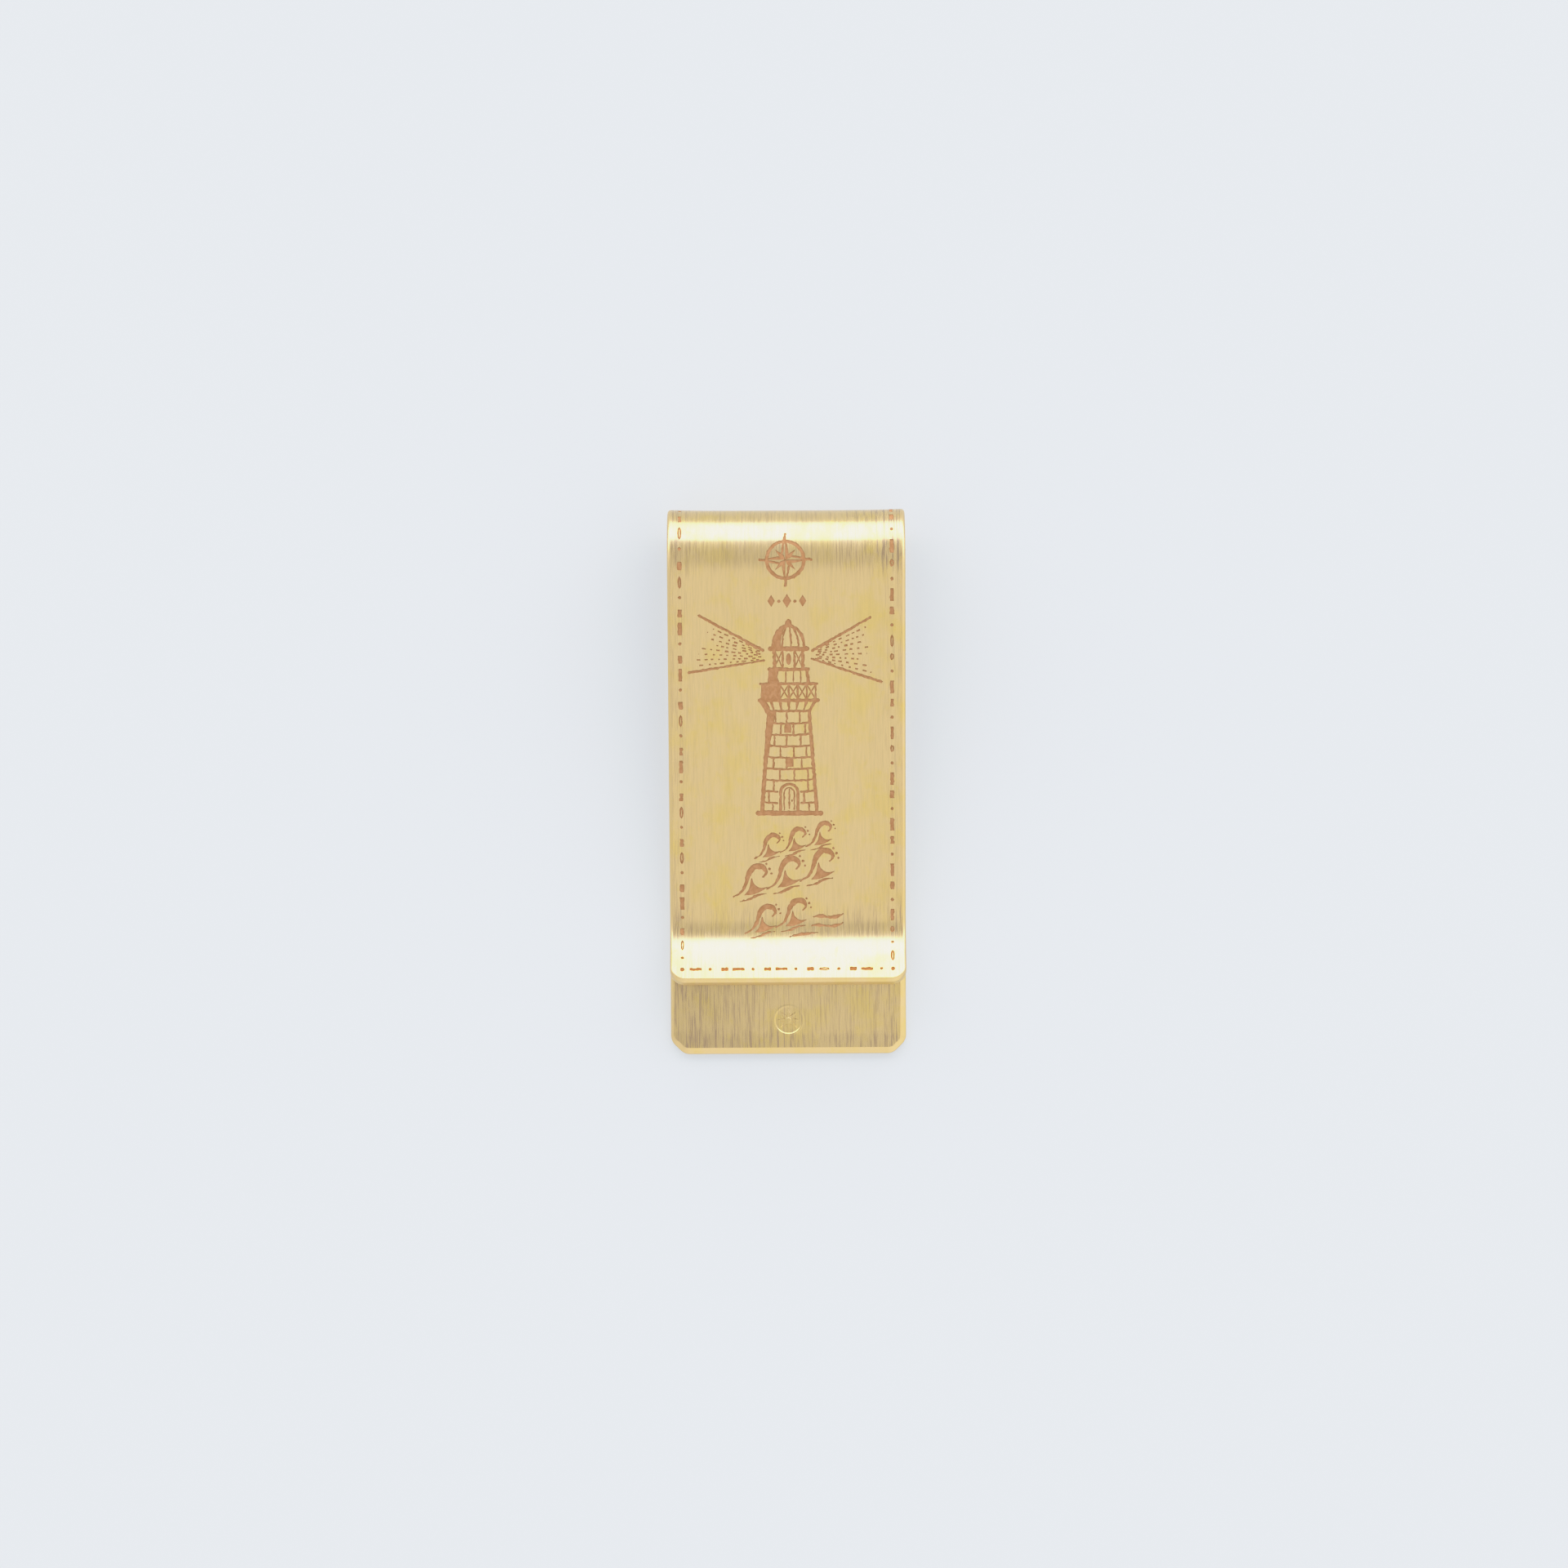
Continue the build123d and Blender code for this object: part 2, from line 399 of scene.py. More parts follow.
# One wave of unit size: its back with the hooked crest, its hollow face over the body, and a ripple below
WAVE_SPACING = 1.12
WAVE_BACK = ((-0.05, 0.0), (0.24, 0.1), (0.45, 0.34), (0.62, 0.64), (0.86, 0.8), (1.09, 0.73), (1.17, 0.53), (1.03, 0.42))
WAVE_FACE = ((0.3, -0.03), (0.5, 0.14), (0.66, 0.46), (0.7, 0.26), (0.86, 0.09), (1.12, 0.06))
WAVE_FOOT = ((1.12, 0.06), (0.86, -0.03), (0.58, -0.07), (0.3, -0.03))
WAVE_RIPPLE = ((0.12, -0.2), (0.42, -0.2), (0.72, -0.13), (1.0, -0.14))
WAVE_SPRAY = ((1.3, 0.62, 0.045), (1.33, 0.46, 0.034), (1.24, 0.8, 0.036))


def wave(origin, size, lean):
    """One breaking wave on a sloping row: a brush stroke up its back and over the crest, a solid body under a
    hollow face, a ripple, and spray."""
    turn = np.radians(lean)
    axes = size * np.array([[cos(turn), sin(turn)], [-sin(turn), cos(turn)]])
    shapes = []
    for points, thin, thick, peak in ((WAVE_BACK, 0.05, 0.2, 0.62), (WAVE_RIPPLE, 0.03, 0.085, 0.5)):
        line = curve_through(points)
        shapes += stroke(origin + line @ axes, swell(len(line), thin * size, thick * size, peak))
    body = np.concatenate([curve_through(WAVE_FACE)[:-1], curve_through(WAVE_FOOT)[:-1]])
    shapes.append(origin + body @ axes)
    shapes += [disc(origin + np.array([x, y]) @ axes, radius * size) for x, y, radius in WAVE_SPRAY]
    return shapes


def sea():
    """Three sloping rows of alike waves with ripples running out of them to the right."""
    shapes = []
    for start, size, lean, count in (
        ((-3.4, -7.95), 2.5, 13, 3), ((-5.6, -12.0), 3.25, 13, 3), ((-4.4, -15.9), 2.95, 11, 2)
    ):
        turn = np.radians(lean)
        step = size * WAVE_SPACING * np.array([cos(turn), sin(turn)])
        for number in range(count):
            shapes += wave(np.asarray(start) + step * number, size, lean)
    for start, heading, bend, length, thick in (
        ((2.7, -14.2), 12, -28, 1.6, 0.42),
        ((4.1, -14.2), -12, 44, 1.8, 0.42),
        ((2.5, -15.15), 12, -28, 1.7, 0.38),
        ((4.0, -15.15), -12, 44, 1.9, 0.38),
        ((0.2, -16.3), 14, -12, 3.0, 0.3),
    ):
        line = scroll(start, heading, bend, length, 1.0, 30)
        shapes += stroke(line, swell(len(line), 0.12, thick))
    return shapes


BORDER_PITCH = 4.91  # from one dot to the next along the strip
BORDER_FIRST_DOT = 24.57  # where the first dot of the left-hand column is seen, near the crest
LEFT_COLUMN = -11.2
RIGHT_COLUMN = 11.07
ROW_FROM_LIP_EDGE = 1.3
ROW_FROM_TIP = 1.5
MARK_WIDTH = 0.43


def border_marks():
    """The border round the whole outer face, on the blank: each column repeats a dot, a short and a long dash
    along the strip, the right-hand one in the other order and shifted, and a row closes it at each end."""
    marks = []
    first = float(station_at(BORDER_FIRST_DOT))
    end = STRIP_LENGTH - ROW_FROM_LIP_EDGE
    for x, shift, pattern in (
        (LEFT_COLUMN, 0.0, ((0, 0.3), (0.343, 0.82), (0.678, 1.34))),
        (RIGHT_COLUMN, -0.386, ((0, 0.3), (0.343, 1.34), (0.686, 0.82))),
    ):
        for number in range(-20, 12):
            for place, length in pattern:
                s = first + (number + shift + place) * BORDER_PITCH
                if not ROW_FROM_TIP + length / 2 + 0.2 < s < end - length / 2 - 0.25:
                    continue
                if length < 0.5:
                    marks.append(disc((x, s), 0.17))
                else:
                    marks += dash((x, s), length, MARK_WIDTH * rng.uniform(0.8, 1.12), rng.uniform() < 0.22)
    for s in (end, ROW_FROM_TIP):
        for x in (LEFT_COLUMN, RIGHT_COLUMN):
            marks.append(disc((x, s), 0.24))
        for number in range(-3, 4):
            for place, length in ((0, 0.26), (1.54, 0.75), (3.0, 1.28)):
                x = -8.25 + (number + 1) * 4.53 + place
                if not LEFT_COLUMN + 0.7 < x < RIGHT_COLUMN - 0.6:
                    continue
                if length < 0.5:
                    marks.append(disc((x, s), 0.18))
                else:
                    bar = dash((0, 0), length, 0.4 * rng.uniform(0.85, 1.1), rng.uniform() < 0.2)
                    marks += [np.stack([x + shape[:, 1], s - shape[:, 0]], axis=1) for shape in bar]
    return marks


def drawing():
    """Everything that is etched, as shapes on the blank."""
    seen = compass_rose((-0.1, 23.4), 2.7)
    for x, size in ((-1.6, 0.62), (0.05, 0.72), (1.7, 0.62)):
        seen.append(np.array([(x - size * 0.62, 19.1), (x, 19.1 - size), (x + size * 0.62, 19.1), (x, 19.1 + size)]))
    for x in (-0.78, 0.88):
        seen.append(disc((x, 19.05), 0.17))
    seen += lighthouse(0.2, -3.2, 17.15)
    seen += beam((-2.35, 12.9), (-2.5, 13.95), (-10.3, 11.65), (-9.2, 17.6), 9)
    seen += beam((2.6, 13.05), (2.7, 13.9), (9.95, 10.6), (8.8, 17.35), 9)
    seen += sea()
    return onto_blank(seen) + border_marks()


# --------------------
# The blank as a surface

ETCH_DEPTH = 0.05
BRUSH_RELIEF = 0.02
ROUNDEL_FROM_TIP = 3.6
ROUNDEL_RADIUS = 1.72
ROUNDEL_RINGS = 44
ROUNDEL_SPOKES = 160
EDGE_STEPS = 6
CORNER_STEPS = 7
BEND_STATION_TURN = radians(2.5)
# Points of a line across the strip, as shares of half the width, closer together where the edges curl
CROSS_STEPS = np.array([-1, -0.96, -0.9, -0.82, -0.7, -0.5, 0, 0.5, 0.7, 0.82, 0.9, 0.96, 1])
EDGE_RAMP = radians(20)
BRASS, ETCHED = 0, 1
CDT_INSIDE = 1
CDT_TOLERANCE = 1e-4
SAME_PLACE = 1e-3  # stations nearer than this are one
WELD_DECIMALS = 5


class Surface:
    """The faces of one length of the strip, gathered in the blank: points, corner normals, how much of an
    edge each corner is, from 0 on the broad faces to 1, and each face's finish."""

    def __init__(self):
        self.corners, self.normals, self.edges, self.sizes, self.finishes = [], [], [], [], []

    def add(self, faces, normals, finish=BRASS, edge=0.0):
        """Adds faces of one size as an array (faces, corners, 3), with normals that match it or spread over
        it."""
        faces = np.asarray(faces, float)
        self.corners.append(faces.reshape(-1, 3))
        self.normals.append(np.broadcast_to(normals, faces.shape).reshape(-1, 3))
        self.edges.append(np.broadcast_to(edge, faces.shape[:2]).ravel())
        self.sizes.append(np.full(len(faces), faces.shape[1]))
        self.finishes.append(np.full(len(faces), finish))

    def build(self, name, materials):
        """Welds the points, forms the blank and makes the object. The blank turns inside out as it is formed,
        so every face is taken the other way round."""
        corners = np.concatenate(self.corners)
        sizes = np.concatenate(self.sizes)
        starts = np.concatenate([[0], np.cumsum(sizes)[:-1]])
        ends = np.repeat(starts + sizes - 1, sizes)
        backwards = ends - (np.arange(len(corners)) - np.repeat(starts, sizes))
        points, index = np.unique(np.round(corners, WELD_DECIMALS), axis=0, return_inverse=True)
        normals = formed_normals(corners, np.concatenate(self.normals))[backwards]
        mesh = bpy.data.meshes.new(name)
        mesh.vertices.add(len(points))
        mesh.vertices.foreach_set("co", forming(points).ravel())
        mesh.loops.add(len(corners))
        mesh.loops.foreach_set("vertex_index", index.ravel()[backwards].astype(np.int32))
        mesh.polygons.add(len(sizes))
        mesh.polygons.foreach_set("loop_start", starts.astype(np.int32))
        for material in materials:
            mesh.materials.append(material)
        mesh.polygons.foreach_set("material_index", np.concatenate(self.finishes).astype(np.int32))
        mesh.attributes.new("edge", "FLOAT", "CORNER").data.foreach_set(
            "value", np.concatenate(self.edges)[backwards].astype(np.float32)
        )
        mesh.update(calc_edges=True)
        mesh.polygons.foreach_set("use_smooth", np.ones(len(mesh.polygons), bool))
        mesh.normals_split_custom_set(normals.tolist())
        piece = bpy.data.objects.new(name, mesh)
        bpy.context.scene.collection.objects.link(piece)
        return piece


def lifted(flat, height):
    """Flat points (..., 2) at one height in the blank, (..., 3)."""
    return np.concatenate([flat, np.full((*flat.shape[:-1], 1), height)], axis=-1)


def half_edge(upper_radius, bevel, flat, lower_radius):
    """Half of an edge, from a broad face to the upright side: an arc that turns from level to the bevel's
    slope, the bevel, and an arc that turns to upright. Gives how far in each point is from the outline, how
    far below the face, and the angle of the surface there."""
    first, second = np.linspace(0, bevel, EDGE_STEPS + 1), np.linspace(bevel, pi / 2, EDGE_STEPS + 1)
    out = np.concatenate([
        upper_radius * np.sin(first),
        upper_radius * sin(bevel) + flat * cos(bevel) + lower_radius * (np.sin(second) - sin(bevel)),
    ])
    down = np.concatenate([
        upper_radius * (1 - np.cos(first)),
        upper_radius * (1 - cos(bevel)) + flat * sin(bevel) + lower_radius * (cos(bevel) - np.cos(second)),
    ])
    return np.stack([out[-1] - out, down, np.concatenate([first, second])])


ROUND_EDGE = half_edge(0.39, radians(45), 0.015, 0.39)  # the long sides
FILED_EDGE = half_edge(0.1, radians(36), 0.72, 0.16)  # the tip of the back leaf, broken with a file
SHEARED_EDGE = half_edge(0.1, radians(72), 0.5, 0.1)  # the edge of the lip, left nearly square
BROKEN_EDGE = half_edge(0.14, radians(45), 0.02, 0.14)  # the same edge underneath

# Each free end: the size of its corners and their rounding, and its edge on the outer and the inner face
TIP_END = (2.0, 1.4, ROUND_EDGE, FILED_EDGE)
LIP_END = (1.6, 1.6, SHEARED_EDGE, BROKEN_EDGE)
FILED_SIDE = 0.8  # the tip's filing runs on up its right-hand side, and fades out under the lip
FILED_FADE = (8.0, 22.0)


def corner_run(side, outward, end, size, radius):
    """One corner of a free end, counter-clockwise: an arc to its slope, which is straight, and an arc from
    it."""
    by_side = np.array([side * (HALF_WIDTH - radius), end - outward * size])
    by_end = np.array([side * (HALF_WIDTH - size), end - outward * radius])
    begin = {(1, 1): 0, (-1, 1): pi / 2, (-1, -1): pi, (1, -1): 1.5 * pi}[side, outward]
    points = []
    for number, centre in enumerate((by_side, by_end) if side == outward else (by_end, by_side)):
        angle = begin + (number + np.linspace(0, 1, CORNER_STEPS)) * pi / 4
        ways = np.stack([np.cos(angle), np.sin(angle)], axis=1)
        points.append(np.concatenate([centre + radius * ways, ways], axis=1))
    return np.concatenate(points)


def outline_runs(stations, end, shape):
    """One length's outline as arrays of x, s and the outward direction. Without a free end it is two straight
    sides. With one it is the sides and the end with its corners, in one run, counter-clockwise."""
    right = np.stack([0 * stations + HALF_WIDTH, stations, 0 * stations + 1, 0 * stations], axis=1)
    left = (right * [-1, 1, -1, 1])[::-1]
    if end is None:
        return [right, left]
    outward = 1 if end > stations.mean() else -1
    corners = [corner_run(side, outward, end, *shape[:2]) for side in (outward, -outward)]
    run = np.concatenate([right if outward > 0 else left, *corners, left if outward > 0 else right])
    keep = np.linalg.norm(np.diff(run[:, :2], axis=0), axis=1) > 1e-6
    return [run[np.concatenate([[True], keep])]]


def edge_along(run, shape):
    """The whole edge at each point of an outline, from the outer face round to the inner: how far in, the
    height, and the angle. The sides are round, an end has its own two halves, and each corner blends them."""
    share = np.abs(run[:, 3])
    if shape is TIP_END:
        fade = np.interp(run[:, 1], FILED_FADE, [1, 0])
        share = np.maximum(share, FILED_SIDE * np.maximum(run[:, 2], 0) * fade)
    halves = []
    for half in shape[2:] if shape else (ROUND_EDGE, ROUND_EDGE):
        halves.append(ROUND_EDGE[:, None] + (half - ROUND_EDGE)[:, None] * share[:, None])
    upper, lower = halves
    lower = lower[:, :, ::-1]
    inset = np.concatenate([upper[0], lower[0]], axis=1)
    height = np.concatenate([HALF_THICKNESS - upper[1], lower[1] - HALF_THICKNESS], axis=1)
    angle = np.concatenate([pi / 2 - upper[2], lower[2] - pi / 2], axis=1)
    return inset, height, angle


def face_of_strip(surface, outline, cross_lines, shapes, side):
    """One broad face: triangles between the outline, lines across the strip where it bends, and the shapes.
    On the outer face the shapes are etched: their triangles lie deeper, with walls down to them. On the inner
    face they are left open."""
    points = [outline]
    faces = [list(range(len(outline)))]
    count = len(outline)
    edges = []
    for line in cross_lines:
        points.append(line)
        edges += [(count + n, count + n + 1) for n in range(len(line) - 1)]
        count += len(line)
    for shape in shapes:
        following = np.roll(shape, -1, axis=0)
        area = np.sum(shape[:, 0] * following[:, 1] - following[:, 0] * shape[:, 1])
        points.append(shape if area > 0 else shape[::-1])
        faces.append(list(range(count, count + len(shape))))
        count += len(shape)
    flat = np.concatenate(points)
    made = delaunay_2d_cdt([Vector(p) for p in flat.tolist()], edges, faces, CDT_INSIDE, CDT_TOLERANCE)
    corners = np.array([flat[origin[0]] if origin else tuple(v) for v, origin in zip(made[0], made[3])])
    triangles = np.array(made[2])
    cut = np.array([any(number > 0 for number in owners) for owners in made[5]])
    height = side * HALF_THICKNESS
    normal = (0, 0, side)
    order = [0, 1, 2] if side > 0 else [2, 1, 0]
    surface.add(lifted(corners[triangles[~cut]], height)[:, order], normal)
    if side < 0 or not cut.any():
        return
    floor = height - ETCH_DEPTH
    surface.add(lifted(corners[triangles[cut]], floor), normal, ETCHED)
    sides = np.concatenate([triangles[cut][:, [a, (a + 1) % 3]] for a in range(3)])
    codes = sides[:, 0] * len(corners) + sides[:, 1]
    rim = sides[~np.isin(codes, sides[:, 1] * len(corners) + sides[:, 0])]
    start, end = corners[rim[:, 0]], corners[rim[:, 1]]
    walls = np.stack(
        [lifted(start, height), lifted(end, height), lifted(end, floor), lifted(start, floor)], axis=1
    )
    along = end - start
    facing = np.stack([-along[:, 1], along[:, 0], 0 * along[:, 0]], axis=1)
    facing /= np.maximum(np.linalg.norm(facing, axis=1, keepdims=True), 1e-9)
    surface.add(walls, facing[:, None, :], ETCHED)


# The roundel's relief: heights, radii and the widths of its ramps
BEAD_HEIGHT, BEAD_RADIUS, BEAD_WIDTH = 0.022, 1.55, 0.07
FIELD_DEPTH, FIELD_RADIUS, FIELD_RAMP = 0.05, 1.48, 0.12
STAR_POINTS, STAR_WAIST, STAR_REACH, STAR_SHARPNESS, STAR_RAMP = 8, 0.5, 0.72, 1.5, 0.1
BOSS_HEIGHT, BOSS_RADIUS = 0.04, 0.3


def roundel_relief(radius, angle):
    """Height of the pressed roundel's surface: a low bead round its rim, a sunken field, and an eight-pointed
    star with a boss at its centre standing in the field. Each step is a short ramp."""
    bead = BEAD_HEIGHT * np.exp(-(((radius - BEAD_RADIUS) / BEAD_WIDTH) ** 2))
    field = FIELD_DEPTH * np.clip((FIELD_RADIUS - radius) / FIELD_RAMP, 0, 1)
    point = np.abs((angle * STAR_POINTS / (2 * pi)) % 1 - 0.5) * 2
    star_edge = STAR_WAIST + STAR_REACH * point**STAR_SHARPNESS
    star = FIELD_DEPTH * np.clip((star_edge - radius) / STAR_RAMP, 0, 1)
    boss = BOSS_HEIGHT * np.clip((BOSS_RADIUS - radius) / STAR_RAMP, 0, 1)
    return bead - field + star + boss


def roundel(surface):
    """The roundel as a polar grid, lying in the round gap of the inner face. Its normals come from the
    relief's slopes across the grid."""
    rings = np.linspace(0, ROUNDEL_RADIUS, ROUNDEL_RINGS + 1)[1:]
    spokes = np.arange(ROUNDEL_SPOKES) * 2 * pi / ROUNDEL_SPOKES
    radius, angle = np.meshgrid(rings, spokes, indexing="ij")
    small = 1e-3
    inwards = -(HALF_THICKNESS + np.where(radius < ROUNDEL_RADIUS, roundel_relief(radius, angle), 0))
    slope_r = (roundel_relief(radius + small, angle) - roundel_relief(radius - small, angle)) / (2 * small)
    slope_a = roundel_relief(radius, angle + small) - roundel_relief(radius, angle - small)
    slope_a /= 2 * small * radius
    x, s = radius * np.cos(angle), radius * np.sin(angle)
    points = np.stack([x, ROUNDEL_FROM_TIP + s, inwards], axis=-1)
    normals = np.stack([
        -(slope_r * x - slope_a * s) / radius,
        -(slope_r * s + slope_a * x) / radius,
        -np.ones_like(x),
    ], axis=-1)
    normals /= np.linalg.norm(normals, axis=-1, keepdims=True)

    def quads(grid):
        around = np.roll(grid, -1, axis=1)
        return np.stack([grid[:-1], around[:-1], around[1:], grid[1:]], axis=2).reshape(-1, 4, 3)

    surface.add(quads(points), quads(normals))
    centre = np.array([0, ROUNDEL_FROM_TIP, -(HALF_THICKNESS + float(roundel_relief(0.0, 0.0)))])
    inner, inner_normals = points[0], normals[0]
    fan = np.stack([np.broadcast_to(centre, inner.shape), np.roll(inner, -1, axis=0), inner], axis=1)
    down = np.broadcast_to([0, 0, -1.0], inner.shape)
    surface.add(fan, np.stack([down, np.roll(inner_normals, -1, axis=0), inner_normals], axis=1))


def bending_stations(start, end):
    """Stations between which the strip turns by a small angle, for the part of it from start to end."""
    stations = [start, end]
    for number, turn in enumerate(turns):
        if turn:
            steps = int(np.ceil(abs(turn) / BEND_STATION_TURN))
            stations += list(np.linspace(section_start[number], section_start[number + 1], steps + 1))
    stations = np.unique(np.round(stations, 6))
    return stations[(stations >= round(start, 6)) & (stations <= round(end, 6))]


def strip_length(name, start, end, shape, shapes, materials):
    """One length of the strip, closed all round: its edge carried along the outline, both broad faces, and a
    flat cap where it was cut from its neighbour."""
    surface = Surface()
    free_end = start if shape is TIP_END else end if shape is LIP_END else None
    corner = shape[0] if shape else 0
    straight_start = start + corner * (shape is TIP_END)
    straight_end = end - corner * (shape is LIP_END)
    stations = bending_stations(straight_start, straight_end)
    borders = []
    for run in outline_runs(stations, free_end, shape):
        inset, height, angle = edge_along(run, shape)
        flat, outward = run[:, None, :2], run[:, None, 2:]
        points = np.concatenate([flat - outward * inset[..., None], height[..., None]], axis=2)
        normals = np.concatenate([outward * np.cos(angle)[..., None], np.sin(angle)[..., None]], axis=2)
        edge = np.clip((pi / 2 - np.abs(angle)) / EDGE_RAMP, 0, 1)

        def quads(grid):
            faces = np.stack([grid[:-1, :-1], grid[:-1, 1:], grid[1:, 1:], grid[1:, :-1]], axis=2)
            return faces.reshape(-1, 4, *grid.shape[2:])

        surface.add(quads(points), quads(normals), BRASS, quads(edge))
        borders.append(points[:, [0, -1], :2])
    border = np.concatenate(borders)
    curved = stations[(stations > straight_start + SAME_PLACE) & (stations < straight_end - SAME_PLACE)]
    reach = HALF_WIDTH - ROUND_EDGE[0, 0]
    cross_lines = [np.stack([CROSS_STEPS * reach, 0 * CROSS_STEPS + s], axis=1) for s in curved]
    face_of_strip(surface, border[:, 0], cross_lines, shapes, 1)
    hole = []
    if shape is TIP_END:
        cross_lines = [line[np.abs(line[:, 0]) < reach - 0.3] for line in cross_lines]
        spokes = np.arange(ROUNDEL_SPOKES) * 2 * pi / ROUNDEL_SPOKES
        hole = [np.stack([np.cos(spokes), np.sin(spokes)], axis=1) * ROUNDEL_RADIUS + [0, ROUNDEL_FROM_TIP]]
        roundel(surface)
    face_of_strip(surface, border[:, 1], cross_lines, hole, -1)
    side = np.array([[HALF_WIDTH, (start + end) / 2, 1, 0.0]])
    inset, height, _ = (part[0] for part in edge_along(side, None))
    for cut, way in ((start, -1), (end, 1)):
        if cut in (0, STRIP_LENGTH):
            continue
        right = np.stack([HALF_WIDTH - inset, 0 * inset + cut, height], axis=1)
        left = (right * [-1, 1, 1])[::-1]
        ring = np.concatenate([right, left])
        surface.add((ring if way > 0 else ring[::-1])[None], (0, way, 0))
    return surface.build(name, materials)


# --------------------
# Finishes


class Wire:
    """A shader socket that can be reckoned with: each operation adds a Math node to its tree."""

    def __init__(self, tree, socket):
        self.tree = tree
        self.socket = socket

    def math(self, operation, *others):
        return self.tree.add("ShaderNodeMath", {"operation": operation}, dict(enumerate((self, *others))))

    def __add__(self, other):
        return self.math("ADD", other)

    def __sub__(self, other):
        return self.math("SUBTRACT", other)

    def __rsub__(self, other):
        return (self * -1) + other

    def __mul__(self, other):
        return self.math("MULTIPLY", other)

    def __pow__(self, other):
        return self.math("POWER", other)

    __radd__ = __add__
    __rmul__ = __mul__


class Tree:
    """The nodes of a material or of the world."""

    def __init__(self, owner):
        owner.use_nodes = True
        self.tree = owner.node_tree
        self.tree.nodes.clear()

    def add(self, kind, settings, sockets, output=0):
        """Adds a node: first its settings, then the value or link of each socket named. Gives one output."""
        node = self.tree.nodes.new(kind)
        for name, value in settings.items():
            setattr(node, name, value)
        for name, value in sockets.items():
            if isinstance(value, Wire):
                self.tree.links.new(value.socket, node.inputs[name])
            else:
                node.inputs[name].default_value = value
        return Wire(self, node.outputs[output]) if node.outputs else None

    def place(self):
        """Where a point is on the object, in metres."""
        return self.add("ShaderNodeTexCoord", {}, {}, "Object")

    def show(self, sockets):
        """Ends a material with its one shader."""
        shader = self.add("ShaderNodeBsdfPrincipled", {}, sockets)
        self.add("ShaderNodeOutputMaterial", {}, {"Surface": shader})

    def noise(self, scale, detail=2.0, roughness=0.5, shift=0.0):
        """Noise that is even in every direction or drawn out along an axis: scale is its grain per
        millimetre."""
        stretched = self.add(
            "ShaderNodeMapping", {},
            {
                "Vector": self.place(),
                "Scale": [per_mm / MM for per_mm in scale],
                "Location": (shift, shift, shift),
            },
        )
        return self.add(
            "ShaderNodeTexNoise", {"noise_dimensions": "3D"},
            {"Vector": stretched, "Scale": 1.0, "Detail": detail, "Roughness": roughness},
        )

    def parts(self, vector):
        """The three numbers of a vector."""
        return [self.add("ShaderNodeSeparateXYZ", {}, {"Vector": vector}, axis) for axis in range(3)]

    def tint(self, colour, amount):
        """A colour made darker or lighter by a number."""
        return self.add("ShaderNodeVectorMath", {"operation": "SCALE"}, {"Vector": colour, "Scale": amount})

    def smooth(self, value, low, high, to_low=0.0, to_high=1.0):
        """Goes smoothly from one value to another as the first goes from low to high."""
        return self.add(
            "ShaderNodeMapRange", {"interpolation_type": "SMOOTHSTEP"},
            {"Value": value, "From Min": low, "From Max": high, "To Min": to_low, "To Max": to_high},
        )

    def mix(self, share, first, second):
        """Mixes two colours, whose sockets are the seventh and eighth of the node."""
        return self.add("ShaderNodeMix", {"data_type": "RGBA"}, {0: share, 6: first, 7: second}, 2)


# Brass colours: as brushed, under a yellow patina, and dark as in the bottom of a score, which is also the
# colour of the painted shade on the crest, the nip and the tip
POLISHED = (0.805, 0.605, 0.30, 1)
TARNISHED = (0.80, 0.60, 0.21, 1)
SCORED_AND_SHADED = (0.46, 0.33, 0.205, 1)

# The etched metal's colours: two that it is mottled with, and that of the lip
COPPER_DARK = (0.44, 0.218, 0.092, 1)
COPPER_LIGHT = (0.52, 0.277, 0.13, 1)
COPPER_LIP = (0.43, 0.175, 0.05, 1)
PIT_DEPTH = 0.012


